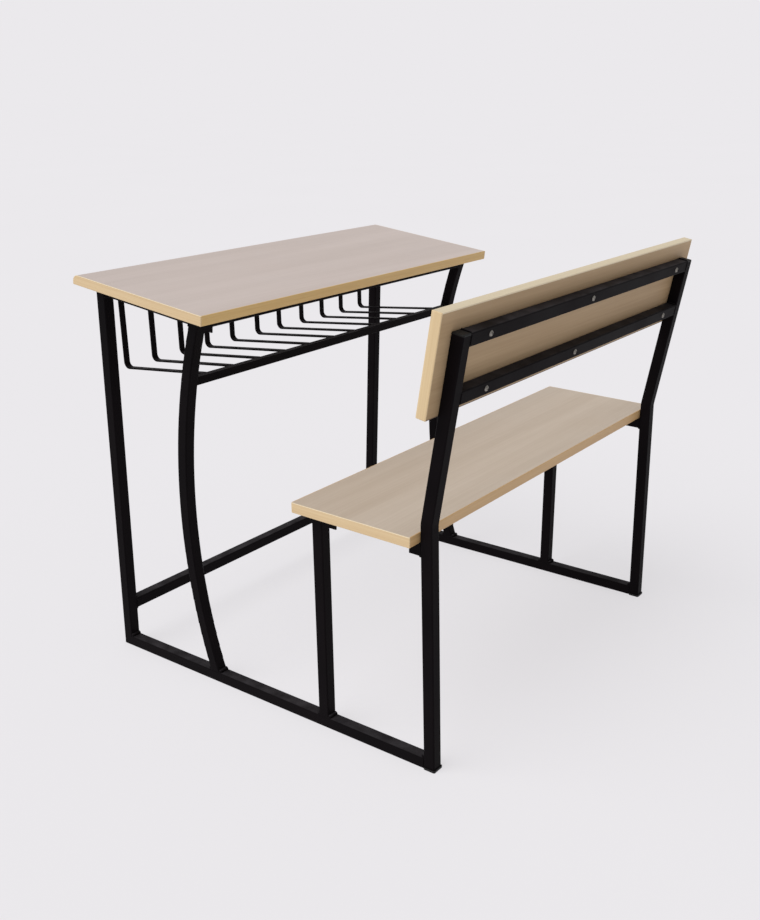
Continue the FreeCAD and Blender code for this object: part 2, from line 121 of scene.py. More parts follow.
# %% The shader of a finish
def new_finish(name, **values):
    """Material with one shader, whose even values go straight onto its sockets."""
    material = bpy.data.materials.new(name)
    material.use_nodes = True
    tree = material.node_tree
    shader = tree.nodes["Principled BSDF"]
    for socket, value in values.items():
        shader.inputs[socket.replace("_", " ")].default_value = value
    return material, tree, shader


def link_finish(tree, shader, colour, roughness, normal):
    """Link all that varies over a surface to its shader."""
    tree.links.new(colour, shader.inputs["Base Color"])
    tree.links.new(roughness, shader.inputs["Roughness"])
    tree.links.new(normal, shader.inputs["Normal"])


plain = {place.material.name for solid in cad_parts.values() for place in solid.material_slots}
print("the solids came with plain materials:", sorted(plain))

# %% [markdown]
# ## Noise
# What varies comes from noise, stretched to the lengths of the real pattern. A picture of the
# surface could be used too, but it has to be laid out on every piece, and it shows seams. The
# noise reads Object coordinates. Each piece sits at the origin, so those are simply metres on
# the desk.


# %% Noise
def noise(tree, lengths, turn=0.0, detail=3.0, roughness=0.5):
    """Noise whose blots have these lengths in metres along X, Y and Z, turned about X first."""
    place = add_node(tree, "TexCoord").outputs["Object"]
    if turn:
        place = add_node(tree, "Mapping", {"Vector": place, "Rotation": (turn, 0, 0)}).outputs[0]
    scale = [1 / length for length in lengths]
    place = add_node(tree, "Mapping", {"Vector": place, "Scale": scale}).outputs[0]
    pattern = {"Vector": place, "Scale": 1.0, "Detail": detail, "Roughness": roughness}
    return add_node(tree, "TexNoise", pattern).outputs["Fac"]


def even_noise(tree, length, **pattern):
    """Noise whose blots are as long one way as the other."""
    return noise(tree, (length, length, length), **pattern)


centred = all(solid.location.length == 0 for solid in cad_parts.values())
print("all solids sit at the origin:", centred)

# %% [markdown]
# ## Tones and numbers from noise
# Most of such noise lies between 0.3 and 0.7. So a colour or a number goes from one of its
# ends to the other over just that range. Over the whole of 0 to 1, it would reach neither.

# %% Tones and numbers
NOISE_RANGE = (0.3, 0.7)


def two_tones(tree, factor, tones, ends=NOISE_RANGE):
    """Colour that goes from dark to light while the factor goes from end to end."""
    made = add_node(tree, "ValToRGB", {"Fac": factor})
    for stop, place, colour in zip(made.color_ramp.elements, ends, tones):
        stop.position = place
        stop.color = colour
    return made.outputs["Color"]


def rescale(tree, value, ends, new_ends=(0.0, 1.0)):
    """The value, carried over from one range to another, and kept within it."""
    values = {"Value": value, "From Min": ends[0], "From Max": ends[1],
              "To Min": new_ends[0], "To Max": new_ends[1]}
    return add_node(tree, "MapRange", values).outputs["Result"]


def spread(tree, factor, new_ends):
    """Number that noise moves from one end of a range to the other."""
    return rescale(tree, factor, NOISE_RANGE, new_ends)


print("noise is spread from", *NOISE_RANGE)

# %% [markdown]
# ## Where a face looks, and how rough it is
# Dust and a painted sheen lie on what looks up, and the faces of the backrest that look back get
# painted shade. So a finish can ask which way a face looks. Relief that is much finer than a
# millimetre would need millions of faces, so it is a bump, with its real depth in metres.


# %% Directions and bumps
def facing(tree, axis):
    """How much a face looks along an axis, from -1 to 1."""
    normal = add_node(tree, "NewGeometry").outputs["Normal"]
    return add_node(tree, "SeparateXYZ", {"Vector": normal}).outputs[axis]


def calculate(tree, operation, first, second):
    """Result of one sum with two numbers."""
    return add_node(tree, "Math", {0: first, 1: second}, operation=operation).outputs[0]


def bump(tree, height, depth, strength=1.0):
    """Bump of a real depth in metres."""
    values = {"Height": height, "Distance": depth, "Strength": strength}
    return add_node(tree, "Bump", values).outputs["Normal"]


print("helpers ready:", ", ".join(helper.__name__ for helper in (facing, calculate, bump)))

# %% [markdown]
# ## The frame's powder coat
# The tube is coated with near-black powder that is baked on. Up close such a coat isn't flat: it
# has a fine orange-peel ripple about a millimetre across, its gloss wanders a little from place
# to place, and fine dust settles on whatever faces up. One even colour would be simpler, but it
# makes steel look like card. So the ripple is a bump a twentieth of a millimetre deep. A lighter
# grey is mixed in where the surface looks up, broken up by noise so that it never looks like a
# drawn edge. It is partly dust and partly a painted sheen for the light that these faces catch
# from above.

# %% Powder coat
COAT_TONES = tone_pair((12, 9, 11), (18, 14, 16))
COAT_ROUGHNESS = (0.45, 0.57)
COAT_CLOUD = 0.09
PEEL, PEEL_DEPTH = 0.0013, 0.00005
# Painted sheen: this lighter grey on upward faces stands partly for dust and partly for the
# sheen they catch from above.
DUST_AND_SHEEN = screen_colour(124, 120, 125)
DUST_AND_SHEEN_SHARES = (0.04, 0.16)
DUST_AND_SHEEN_PATCH = 0.03
DUST_AND_SHEEN_SLOPES = (0.55, 1.0)


def coat_finish():
    """Near-black coat with a fine ripple, and dust with a painted sheen on what looks up."""
    material, tree, shader = new_finish("powder_coat", Specular_IOR_Level=0.03)
    clouds = even_noise(tree, COAT_CLOUD)
    level = rescale(tree, facing(tree, "Z"), DUST_AND_SHEEN_SLOPES)
    patches = spread(tree, even_noise(tree, DUST_AND_SHEEN_PATCH, detail=5.0), DUST_AND_SHEEN_SHARES)
    # Share of the lighter grey on faces that look up: dust with painted sheen.
    dust_and_sheen = calculate(tree, "MULTIPLY", level, patches)
    colour = blend_colours(tree, dust_and_sheen, two_tones(tree, clouds, COAT_TONES), DUST_AND_SHEEN)
    peel = bump(tree, even_noise(tree, PEEL, detail=2.0), PEEL_DEPTH)
    link_finish(tree, shader, colour, spread(tree, clouds, COAT_ROUGHNESS), peel)
    return material


powder_coat = coat_finish()
print("finish:", powder_coat.name)

# %% [markdown]
# ## Laminate
# The boards are particle board with a printed laminate on both faces. The print is a quiet
# straight grain that runs the long way of each board. Two noises stretched along X make it: a
# fine one for the single fibres, and a broad one for slow bands of tone. Hands and books polish
# such a face unevenly, so its gloss wanders, and a very shallow bump follows the fibres. The
# faces of the backrest that look back are in shade, and they get a darker and warmer pair of
# tones as painted shade, so the function can take a second pair of tones for a face that looks
# back.

# %% Laminate
FIBRE, FIBRE_DEPTH = (0.22, 0.0035, 0.0035), 0.00003
BROAD_BAND, BAND_SHARE = (0.9, 0.045, 0.045), 0.6
GRAIN_RANGE = (0.32, 0.68)
SMUDGE, SMUDGE_SHARES = 0.11, (0.0, 0.07)
LAMINATE_ROUGHNESS = (0.4, 0.56)
FACE_SHINE, BACKREST_SHINE = 0.35, 0.15


def blend_numbers(tree, share, first, second):
    """Mix of two numbers, with this share of the second."""
    return add_node(tree, "Mix", {0: share, 2: first, 3: second}, data_type="FLOAT").outputs[0]


def laminate_finish(name, tones, turn, rear_shade=None):
    """Printed grain along X, with darker, warmer tones of painted shade on faces that look back.
    """
    shine = BACKREST_SHINE if rear_shade else FACE_SHINE
    material, tree, shader = new_finish(name, Specular_IOR_Level=shine)
    fibres = noise(tree, FIBRE, turn=turn, detail=4.0, roughness=0.6)
    bands = noise(tree, BROAD_BAND, turn=turn, detail=2.0)
    grain = blend_numbers(tree, BAND_SHARE, fibres, bands)
    colour = two_tones(tree, grain, tones, GRAIN_RANGE)
    if rear_shade:
        # Painted shade: faces that look back get the second pair of tones, which is darker and
        # warmer.
        rear = calculate(tree, "LESS_THAN", facing(tree, "Y"), 0.0)
        rear_shade_colour = two_tones(tree, grain, rear_shade, GRAIN_RANGE)
        colour = blend_colours(tree, rear, colour, rear_shade_colour)
    smudge = even_noise(tree, SMUDGE, detail=5.0, roughness=0.6)
    colour = blend_colours(tree, spread(tree, smudge, SMUDGE_SHARES), colour, tones[0])
    relief = bump(tree, fibres, FIBRE_DEPTH, strength=0.6)
    link_finish(tree, shader, colour, spread(tree, smudge, LAMINATE_ROUGHNESS), relief)
    return material


print("fibres are", FIBRE[1] * 1000, "mm wide, and the broad bands", BROAD_BAND[1] * 1000)

# %% [markdown]
# Each board slopes a little, so its grain is turned about X by as much. The desktop's print
# is greyer than that of the seat and the backrest.

# %% The three boards
DESK_TILT = math.radians(6.95)
SEAT_TILT = math.radians(0.92)
BACK_TILT = math.radians(9.85)
DESK_TONES = tone_pair((196, 182, 175), (207, 193, 187))
SEAT_TONES = tone_pair((187, 170, 152), (202, 187, 171))
# Painted shade: darker, warmer tones for the faces of the backrest that look back.
PAINTED_REAR_SHADE_TONES = tone_pair((164, 136, 102), (186, 159, 124))

desk_laminate = laminate_finish("laminate_desktop", DESK_TONES, -DESK_TILT)
seat_laminate = laminate_finish("laminate_seat", SEAT_TONES, -SEAT_TILT)
back_laminate = laminate_finish("laminate_backrest", SEAT_TONES, -BACK_TILT, PAINTED_REAR_SHADE_TONES)
print("finishes:", desk_laminate.name, seat_laminate.name, back_laminate.name)

# %% [markdown]
# ## Edge bands
# The narrow sides of each board are closed with a strip of plastic edging, printed to look like
# pale wood. Its grain always runs along the strip, whichever way the strip points. One tree
# could turn its grain by the way that a face looks. It is plainer to build the same tree once
# for each direction, with the noise stretched that way: across the desk, from front to back, and
# up the leaning backrest. The rounded upper edge of an end strip gets a painted highlight: a
# thin cream line, mixed in where the face looks up.

# %% Edge bands
SLOW_STRETCH, SLOW_SHARE = 8, 0.4
LINE_DEPTH = 0.00003
EDGING_ROUGHNESS = (0.34, 0.46)
# Slopes over which the painted cream highlight fades in.
HIGHLIGHT_SLOPES = (0.2, 0.45)


def band_finish(name, lengths, turn, tones, highlight_colour=None):
    """Fine printed lines, with a painted cream highlight where the upper edge turns up."""
    material, tree, shader = new_finish(name, Specular_IOR_Level=0.4)
    lines = noise(tree, lengths, turn=turn, detail=4.0, roughness=0.65)
    slow_lengths = [SLOW_STRETCH * length for length in lengths]
    slow = noise(tree, slow_lengths, turn=turn, detail=2.0)
    colour = two_tones(tree, blend_numbers(tree, SLOW_SHARE, lines, slow), tones)
    if highlight_colour:
        # Painted highlight: cream mixed in where the face turns up.
        edge = rescale(tree, facing(tree, "Z"), HIGHLIGHT_SLOPES)
        colour = blend_colours(tree, edge, colour, highlight_colour)
    relief = bump(tree, lines, LINE_DEPTH, strength=0.5)
    link_finish(tree, shader, colour, spread(tree, slow, EDGING_ROUGHNESS), relief)
    return material


print("the slow pattern is", SLOW_STRETCH, "times as long as the lines")

# %% [markdown]
# The bands of one desk are not all given one tone. The top edge of the backrest is the palest.
# The long edges of the desktop and the seat get a warmer, more golden copy of the band tone: a
# painted shade for the rear edges that look back into the shade. The lower edge of the backrest
# looks down into the shade, and it is painted a dull brown shade.

# %% The seven bands
LONG_GRAIN, FINE_GRAIN = 0.13, 0.0011
ACROSS = (LONG_GRAIN, FINE_GRAIN, FINE_GRAIN)
ALONG = (FINE_GRAIN, LONG_GRAIN, FINE_GRAIN)
UPRIGHT = (FINE_GRAIN, FINE_GRAIN, LONG_GRAIN)
PALE = tone_pair((210, 182, 138), (228, 204, 164))
STRAW = tone_pair((204, 174, 131), (223, 198, 157))
# Painted shade: warmer, more golden copies of the band tone for the long edges that look back
# into the shade.
PAINTED_SHADE_GOLD = tone_pair((204, 168, 106), (224, 192, 132))
PAINTED_SHADE_AMBER = tone_pair((190, 152, 104), (210, 176, 128))
SAND = tone_pair((210, 192, 160), (227, 212, 183))
# Painted shade: a dull brown for the lower edge of the backrest, which looks down into the
# shade.
PAINTED_SHADE_UMBER = tone_pair((92, 74, 64), (114, 94, 80))
# Painted highlight: a thin cream line on the rounded upper edge of the end strips.
PAINTED_HIGHLIGHT_CREAM = screen_colour(226, 208, 178)

desk_end_band = band_finish("band_desktop_ends", ALONG, -DESK_TILT, STRAW, PAINTED_HIGHLIGHT_CREAM)
seat_end_band = band_finish("band_seat_ends", ALONG, -SEAT_TILT, STRAW, PAINTED_HIGHLIGHT_CREAM)
back_end_band = band_finish("band_backrest_ends", UPRIGHT, -BACK_TILT, PALE)
# The long bands carry the painted shade tones.
desk_long_shade_band = band_finish("band_desktop_long_painted_shade", ACROSS, -DESK_TILT, PAINTED_SHADE_GOLD)
seat_long_shade_band = band_finish("band_seat_long_painted_shade", ACROSS, -SEAT_TILT, PAINTED_SHADE_AMBER)
back_top_band = band_finish("band_backrest_top", ACROSS, -BACK_TILT, SAND)
# The lower backrest band gets the painted brown shade.
back_bottom_shade_band = band_finish("band_backrest_bottom_painted_shade", ACROSS, -BACK_TILT, PAINTED_SHADE_UMBER)
print("seven band finishes, grain", LONG_GRAIN * 1000, "by", FINE_GRAIN * 1000, "mm")

# %% [markdown]
# ## Plastic caps and plugs, and zinc bolts
# The caps on the posts and the plugs under them are moulded black plastic: duller than the
# coat, with the fine grain that a spark-eroded mould leaves. The bolts are zinc plated. Zinc
# is a metal, so its colour is the colour of its reflection, and it turns cloudy in soft
# patches. Each could have a tree of its own, but both have clouds over a fine grain, so one
# function makes them at two scales.


# %% Plastic and zinc
def clouded_finish(name, tones, roughness, cloud, grain, depth, **values):
    """Clouds of tone and gloss over a fine grain, each given as its length and its detail."""
    material, tree, shader = new_finish(name, **values)
    clouds = even_noise(tree, cloud[0], detail=cloud[1])
    colour = two_tones(tree, clouds, tones)
    relief = bump(tree, even_noise(tree, grain[0], detail=grain[1]), depth)
    link_finish(tree, shader, colour, spread(tree, clouds, roughness), relief)
    return material


PLASTIC_TONES = tone_pair((13, 12, 13), (21, 20, 21))
ZINC_TONES = tone_pair((110, 106, 101), (160, 156, 149))

moulded_plastic = clouded_finish("moulded_plastic", PLASTIC_TONES, roughness=(0.52, 0.64),
                                 cloud=(0.012, 3.0), grain=(0.0005, 1.0), depth=0.00004,
                                 Specular_IOR_Level=0.25)
zinc_plate = clouded_finish("zinc_plate", ZINC_TONES, roughness=(0.24, 0.42),
                            cloud=(0.0025, 4.0), grain=(0.0006, 2.0), depth=0.00002,
                            Metallic=1.0)
print("finishes:", moulded_plastic.name, zinc_plate.name)

# %% [markdown]
# ## Put the finishes on the solids
# Each solid came with a plain material in its one slot. A finish could be put into each slot
# by hand, but a short table is easier to read. It says which finish a name calls for. The
# first match wins, so the special boards and bands stand before the general rule for the
# steel.

# %% Put the finishes on the solids
FINISHES = [
    ("desktop_board", desk_laminate),
    ("seat_board", seat_laminate),
    ("backrest_board", back_laminate),
    ("desktop_band_rear", desk_long_shade_band),
    ("desktop_lipping", desk_laminate),
    ("seat_band_rear", seat_long_shade_band),
    ("seat_band_front", seat_long_shade_band),
    ("desktop_band", desk_end_band),
    ("seat_band", seat_end_band),
    ("backrest_band_top", back_top_band),
    ("backrest_band_bottom", back_bottom_shade_band),
    ("backrest_band", back_end_band),
    ("post_cap", moulded_plastic),
    ("foot_plug", moulded_plastic),
    ("backrest_bolts", zinc_plate),
    ("seat_screws", zinc_plate),
    ("desktop_screws", zinc_plate),
    ("", powder_coat),
]


def finish_for(name):
    """Finish of the first row that the name starts with."""
    return next(finish for start, finish in FINISHES if name.startswith(start))


for name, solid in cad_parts.items():
    for place in solid.material_slots:
        place.material = finish_for(name)
print("dressed", len(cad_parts), "solids")

# %% [markdown]
# ## Weld beads
# Every joint of the frame is welded by hand, and the coat goes over the welds. A bead is a
# little rounded ridge in the corner between two tubes, with a ripple for each time that the
# molten pool froze. It could be a swept curve, but then its thickness would be too even. Here
# a bead is a row of circles, each a bit wider or narrower than the last, and neighbours are
# joined with `bridge_loops`. More than half of it lies inside the steel, as if it had bitten
# in.

# %% Rings of a bead
RIPPLE = 0.0022
RINGS_TO_A_RIPPLE = 3
LEAST_RINGS = 6
BEAD_SIDES = 8
END_TAPER = (0.45, 0.8, 0.95)
SWELL, WANDER = 0.07, 0.06
WANDER_PACE, WANDER_START = 1.7, 40


def ring_share(step, count, length):
    """Width of one ring, as a share of the bead's. It tapers, swells and wanders."""
    from_end = min(step, count - step)
    taper = END_TAPER[from_end] if from_end < len(END_TAPER) else 1.0
    swell = 1 + SWELL * math.cos(2 * math.pi * step / RINGS_TO_A_RIPPLE)
    wander = 1 + WANDER * math.sin(WANDER_PACE * step + WANDER_START * length)
    return taper * swell * wander


print("a bead's ripples are", RIPPLE * 1000, "mm apart")

# %% [markdown]
# One bead of each length and thickness is made once, lying on Z, and then copied to wherever
# it is needed. That keeps the script quick. Its ends are small circles with a cap, so the
# shell is closed.

# %% One bead
patterns = {}


def bead_pattern(length, radius):
    """Mesh of a bead from the origin up to a length on Z."""
    key = (round(length, 4), round(radius, 5))
    if key in patterns:
        return patterns[key]
    shell = bmesh.new()
    count = max(LEAST_RINGS, round(length / RIPPLE * RINGS_TO_A_RIPPLE))
    previous = []
    for step in range(count + 1):
        place = Matrix.Translation((0, 0, length * step / count))
        ring = bmesh.ops.create_circle(shell, cap_ends=False, segments=BEAD_SIDES, matrix=place,
                                       radius=radius * ring_share(step, count, length))
        edges = list({edge for vertex in ring["verts"] for edge in vertex.link_edges})
        if previous:
            bmesh.ops.bridge_loops(shell, edges=previous + edges)
        previous = edges
    rim = [edge for edge in shell.edges if edge.is_boundary]
    bmesh.ops.holes_fill(shell, edges=rim, sides=0)
    bmesh.ops.recalc_face_normals(shell, faces=shell.faces)
    for face in shell.faces:
        face.smooth = True
    patterns[key] = bpy.data.meshes.new("bead_pattern")
    shell.to_mesh(patterns[key])
    shell.free()
    return patterns[key]


print("a bead is a tube with", BEAD_SIDES, "sides")

# %% [markdown]
# A bead is laid between two points: its copy is turned from Z to the line between them. All
# the beads of one part of the frame go into one mesh. That mesh then becomes a piece with
# the coat of the tubes, and it rides on the desk's one body.


# %% Lay a bead
def lay_bead(shell, start, end, radius):
    """Copy a bead into a mesh, between two points."""
    run = Vector(end) - Vector(start)
    known = len(shell.verts)
    shell.from_mesh(bead_pattern(run.length, radius))
    shell.verts.ensure_lookup_table()
    place = Matrix.Translation(start) @ run.to_track_quat("Z", "Y").to_matrix().to_4x4()
    bmesh.ops.transform(shell, matrix=place, verts=shell.verts[known:])


def bead_about(shell, middle, reach, radius):
    """Bead that reaches as far on both sides of its middle."""
    lay_bead(shell, middle - reach, middle + reach, radius)


def finish_welds(name, shell):
    """Turn a mesh of beads into a coated piece that rides on the body."""
    mesh = bpy.data.meshes.new(name)
    shell.to_mesh(mesh)
    shell.free()
    piece = bpy.data.objects.new(name, mesh)
    bpy.context.scene.collection.objects.link(piece)
    mesh.materials.append(powder_coat)
    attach(piece, "root")
    print(name, "has", len(mesh.polygons), "faces")


print("the welds' finish is", powder_coat.name)

# %% [markdown]
# ## Where the tubes of a side frame meet
# Seen from the side, each joint is a corner at some Y and Z, with one quarter of the plane
# left open. The bead lies in that quarter, and runs across the tube. Its place could be read
# off a drawing, but here it follows from the boxes of the solids and from the lean of the
# legs, so it can't drift off the steel.

# %% Faces of the side frame
TUBE = 0.022
HALF = TUBE / 2
LEG_LEAN = math.radians(2.29)
POST_LEAN = math.radians(1.09)
BOW_RADIUS, BOW_HEIGHT = 1.089, 0.345

rail_low, rail_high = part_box("base_rail_left")
bench_low, bench_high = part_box("bench_leg_left")
side_x = (rail_low.x + rail_high.x) / 2
inner_x = rail_high.x
bow_centre_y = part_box("curved_leg_left")[1].y - HALF - BOW_RADIUS


def bow_y(z):
    """Centreline of the curved leg."""
    return bow_centre_y + math.sqrt(BOW_RADIUS ** 2 - (z - BOW_HEIGHT) ** 2)


def bow_slope(z):
    """How much the curved leg moves in Y for each step up in Z."""
    return -(z - BOW_HEIGHT) / math.sqrt(BOW_RADIUS ** 2 - (z - BOW_HEIGHT) ** 2)


def leg_y(z):
    """Centreline of the front leg."""
    return rail_high.y - HALF / math.cos(LEG_LEAN) - z * math.tan(LEG_LEAN)


def post_front(z):
    """Front face of the rear post, below its bend."""
    return rail_low.y + z * math.tan(POST_LEAN)


print("curved leg's foot at y", round(bow_y(TUBE), 4), "front leg's at", round(leg_y(TUBE), 4))

# %% [markdown]
# The list below gives each corner of the left side frame as (y, z, way in y, way in z,
# radius of the bead). The joints at the floor come first, from front to back, and most of
# them carry the fatter beads. Those under the desktop follow. The height of the joint there
# depends on where the leg is, and the other way round, so a rough height comes first.

# %% Corners of the side frame
FOOT_BEAD, TOP_BEAD = 0.0044, 0.0032
SIDE_RAIL = 0.016
ROUGH_HEIGHT = 0.7
desk_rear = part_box("desktop_band_rear")[0]


def rail_underside(y):
    """Height of the underside of the rail under the desktop."""
    surface = desk_rear.z + (y - desk_rear.y) * math.tan(DESK_TILT)
    return surface - SIDE_RAIL / math.cos(DESK_TILT)


leg_reach = HALF / math.cos(LEG_LEAN)
bow_reach = HALF / math.cos(math.atan(bow_slope(TUBE)))
corners = [
    (leg_y(TUBE) - leg_reach, TUBE, -1, 1, FOOT_BEAD),
    (bow_y(TUBE) + bow_reach, TUBE, 1, 1, FOOT_BEAD),
    (bow_y(TUBE) - bow_reach, TUBE, -1, 1, FOOT_BEAD),
    (bench_high.y, TUBE, 1, 1, TOP_BEAD),
    (bench_low.y, TUBE, -1, 1, FOOT_BEAD),
    (post_front(TUBE), TUBE, 1, 1, FOOT_BEAD),
]
for leg, way in ((bow_y, 1), (leg_y, -1)):
    height = rail_underside(leg(ROUGH_HEIGHT) + way * HALF)
    face = leg(height) + way * HALF
    corners.append((face, rail_underside(face), way, -1, TOP_BEAD))
print(len(corners), "corners on each side frame")

# %% [markdown]
# Both side frames get the same beads, and only X is turned round for the right one. A bead
# sits a quarter of its radius out of the corner, and ends just short of the tube's sides. The
# welder paused at the front of each bench leg, and left a lump there.

# %% Beads of the side frames
CORNER_SHARE = 0.25
SIDE_GAP = 0.0004
SIDE_REACH = Vector((HALF - SIDE_GAP, 0, 0))
LUMP_SHIFT = Vector((0.005, 0.001, 0.0005))
LUMP_REACH = Vector((0.0055, 0, 0))

for side, sign in (("left", 1), ("right", -1)):
    shell = bmesh.new()
    for y, z, way_y, way_z, radius in corners:
        out = CORNER_SHARE * radius
        middle = Vector((sign * side_x, y + out * way_y, z + out * way_z))
        bead_about(shell, middle, SIDE_REACH, radius)
    lump = Vector((side_x, bench_high.y, TUBE)) + LUMP_SHIFT
    lump.x *= sign
    bead_about(shell, lump, LUMP_REACH, FOOT_BEAD)
    finish_welds("welds_side_" + side, shell)

# %% [markdown]
# ## Where the cross members meet the side frames
# A cross member is a square tube whose end stands on the inner face of a leg or post. It is
# welded all round, so four beads frame each end. They could be laid straight, but the
# stretcher leans with the front legs, and the tubes behind the backrest with the posts. So
# the beads lean as well. A member as deep as the leg has its front and rear faces flush with
# the leg's, and the beads there sink in further. They stay low, and the dressed desk stays
# inside the box of the solids.

# %% One frame of beads
LIFT_SHARE, SINK_SHARE = 0.2, 0.45
CORNER_GAP = 0.002


def frame_of_beads(shell, x, way, centre, size, lean, radius):
    """Four beads round the end of a square tube that stands on a face at x."""
    along = Vector((0, math.cos(lean), math.sin(lean)))
    up = Vector((0, -math.sin(lean), math.cos(lean)))
    middle = Vector((x + LIFT_SHARE * radius * way, *centre))
    reach = size / 2 - CORNER_GAP
    for across, side in ((along, up), (up, along)):
        flush = side is along and size == TUBE
        out = size / 2 + radius * (-SINK_SHARE if flush else LIFT_SHARE)
        for sign in (-1, 1):
            bead_about(shell, middle + side * out * sign, across * reach, radius)


def centre_of(name):
    """Middle of a solid's box, as Y and Z."""
    low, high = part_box(name)
    return ((low.y + high.y) / 2, (low.z + high.z) / 2)


stretcher_place = [round(value, 4) for value in centre_of("foot_stretcher")]
print("the stretcher's centre is at y and z", stretcher_place)

# %% [markdown]
# Each row below gives a cross member, the size of its tube, its lean, and the radius of its
# beads. The stretcher near the floor has the fattest beads, and the tubes behind the backrest
# have the finest.

# %% Beads of the cross members
CROSS_MEMBERS = [
    ("foot_stretcher", TUBE, LEG_LEAN, 0.0038),
    ("basket_rail", 0.015, 0.0, 0.003),
    ("desk_rear_rail", 0.020, 0.0, 0.0026),
    ("desk_front_rail", 0.020, 0.0, 0.0026),
    ("backrest_upper_rail", TUBE, BACK_TILT, 0.0019),
    ("backrest_lower_rail", TUBE, BACK_TILT, 0.0019),
]
shell = bmesh.new()
for name, size, lean, radius in CROSS_MEMBERS:
    for sign in (-1, 1):
        frame_of_beads(shell, -sign * inner_x, -sign, centre_of(name), size, lean, radius)
finish_welds("welds_cross_members", shell)

# %% [markdown]
# ## Where the strips of the basket are held
# A strip could be welded all round, like the tubes, but it is so thin that a long bead would
# burn through it. So it is tacked in four places: one short bead above and one below where
# its end meets the basket rail, and one down each edge on the face of the front rail.

# %% Tacks of the basket
TACK = 0.0014
STRIP = 0.003
TACK_INSET, TACK_SHIFT = 0.001, 0.0003
TACK_DROPS = (0.0009, STRIP + 0.0004)
EDGE_DROP, EDGE_RUN = 0.004, 0.012

front_rail_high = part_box("desk_front_rail")[1]
basket_rail_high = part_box("basket_rail")[1]
strips = sorted(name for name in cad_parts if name.startswith("basket_strip"))
shell = bmesh.new()
for name in strips:
    low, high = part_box(name)
    y = low.y + TACK_SHIFT
    for drop in TACK_DROPS:
        z = basket_rail_high.z - drop
        lay_bead(shell, (low.x + TACK_INSET, y, z), (high.x - TACK_INSET, y, z), TACK)
    for x in (low.x, high.x):
        top = Vector((x, front_rail_high.y, front_rail_high.z - EDGE_DROP))
        lay_bead(shell, top, top - Vector((0, 0, EDGE_RUN)), TACK)
print("tacked", len(strips), "strips")
finish_welds("welds_basket", shell)

# %% [markdown]
# ## Where the cleats are held
# The boards are screwed to short pieces of angle. One leg of an angle, its shelf, lies under
# the board. The other, its flange, stands on the face of a leg or post. A bead could run all
# round each, but a cleat only keeps its board in place, and needs less. So one bead runs up
# beside the flange, and another along under the shelf. The rear cleats have one more, across
# their lower end, and the one cleat of the desktop has only the first.

# %% Beads of the cleats
CLEAT_BEAD = 0.0026
CLEAT = 0.003
FLANGE_RISE, FLANGE_REACH = 0.009, Vector((0, 0, 0.008))
SHELF_INSET, SHELF_DROP, SHELF_REACH = 0.009, 0.0035, Vector((0.008, 0, 0))
END_REACH = Vector((0, CLEAT, 0))
DESK_CLEAT_DROP, DESK_CLEAT_REACH = 0.012, Vector((0, 0, 0.005))


def bench_rear(z):
    """Rear face of the bench leg, which is upright and so the same at any height."""
    return bench_low.y


def weld_cleat(shell, low, high, face_y):
    """One bead up beside an angle's flange, and one along under its shelf."""
    for x, z, reach in ((low.x + CLEAT, low.z + FLANGE_RISE, FLANGE_REACH),
                        (high.x - SHELF_INSET, high.z - SHELF_DROP, SHELF_REACH)):
        bead_about(shell, Vector((x, face_y(z), z)), reach, CLEAT_BEAD)


shell = bmesh.new()
for side in ("left", "right"):
    weld_cleat(shell, *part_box("seat_front_cleat_" + side), bench_rear)
    low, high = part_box("seat_rear_cleat_" + side)
    weld_cleat(shell, low, high, post_front)
    end = Vector((low.x + CLEAT / 2, post_front(low.z), low.z))
    bead_about(shell, end, END_REACH, CLEAT_BEAD)
low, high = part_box("desk_cleat_left")
z = high.z - DESK_CLEAT_DROP
middle = Vector((low.x + CLEAT, bow_y(z) - HALF, z))
bead_about(shell, middle, DESK_CLEAT_REACH, CLEAT_BEAD)
finish_welds("welds_cleats", shell)

# %% [markdown]
# ## Floor
# The picture has the desk on a plain pale ground with hardly any shadow. A white plane alone
# would show dark shadows under the boards. Product photographers use a table of milky acrylic
# that is also lit from below. So the floor here glows a little: the glow fills the shadows,
# and what is left of them still shows that the desk stands on it.

# %% The floor's finish
GROUND = screen_colour(235, 233, 236)
GLOW_SHARE = 0.74
FLOOR_VARIES = 0.01
FLOOR_CLOUD = 1.2


def scaled(colour, share):
    """The same colour with this share of its light."""
    return [share * value for value in colour[:3]] + [1.0]


def floor_finish():
    """Pale ground that gives most of its tone as a glow, and the rest as a dull surface."""
    material, tree, shader = new_finish("pale_floor", Roughness=0.8, Specular_IOR_Level=0.0,
                                        Emission_Color=scaled(GROUND, GLOW_SHARE),
                                        Emission_Strength=1.0)
    rest = 1 - GLOW_SHARE
    tones = [scaled(GROUND, (1 + way * FLOOR_VARIES) * rest) for way in (-1, 1)]
    clouds = even_noise(tree, FLOOR_CLOUD, detail=2.0)
    tree.links.new(two_tones(tree, clouds, tones), shader.inputs["Base Color"])
    return material


print("of the floor's tone,", GLOW_SHARE, "is glow")

# %% [markdown]
# The floor itself is a flat disc, so wide that its edge is far out of sight. It is marked as
# a stage, because it isn't part of the desk.

# %% Floor
FLOOR_RADIUS, FLOOR_SIDES = 60.0, 64


def make_floor():
    """Flat disc at the height of the feet."""
    shell = bmesh.new()
    bmesh.ops.create_circle(shell, cap_ends=True, segments=FLOOR_SIDES, radius=FLOOR_RADIUS)
    mesh = bpy.data.meshes.new("floor")
    shell.to_mesh(mesh)
    shell.free()
    floor = bpy.data.objects.new("floor", mesh)
    bpy.context.scene.collection.objects.link(floor)
    mesh.materials.append(floor_finish())
    floor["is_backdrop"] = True


make_floor()
print("floor laid at z 0, out to", FLOOR_RADIUS, "m")

